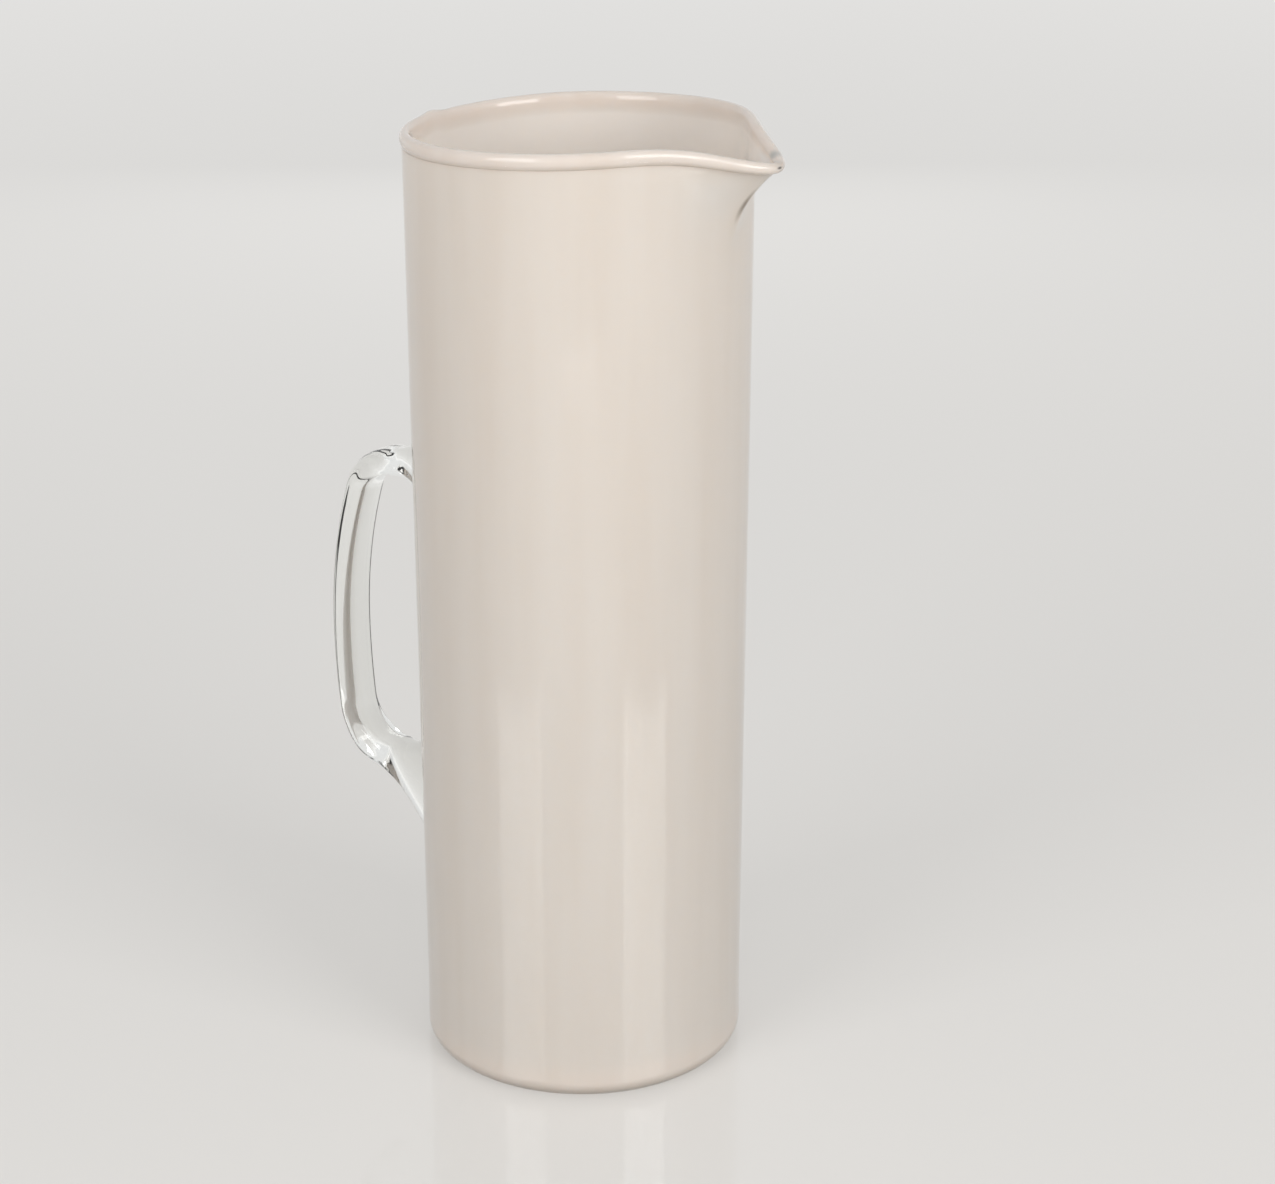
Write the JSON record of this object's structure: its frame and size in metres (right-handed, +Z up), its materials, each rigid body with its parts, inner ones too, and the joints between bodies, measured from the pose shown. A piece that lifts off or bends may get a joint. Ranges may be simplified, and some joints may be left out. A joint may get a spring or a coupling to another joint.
{
  "type": "glass jug",
  "caption": "Tall slightly tapered glass jug of opal white glass cased in clear glass, with a pulled pouring lip, a fire-polished rim and a clear side handle.",
  "frame": {"origin": "centre of the standing ring on the plane the jug stands on, which is also the axis of the round body", "axes": "+Z up along the body's axis, +X towards the pouring lip, -X towards the handle"},
  "size_m": [0.1489, 0.0952, 0.2714],
  "materials": {
    "opal_glass": "opaque warm white opal glass, fire-polished gloss",
    "clear_casing_glass": "clear colourless glass layer, blown and fire-polished gloss",
    "clear_handle_glass": "clear colourless glass, hand-pulled and fire-polished gloss"
  },
  "bodies": {
    "root": {"opal_body": "opal_glass", "clear_casing": "clear_casing_glass", "handle_bar": "clear_handle_glass", "upper_handle_pad": "clear_handle_glass", "lower_handle_pad": "clear_handle_glass"}
  },
  "joints": []
}
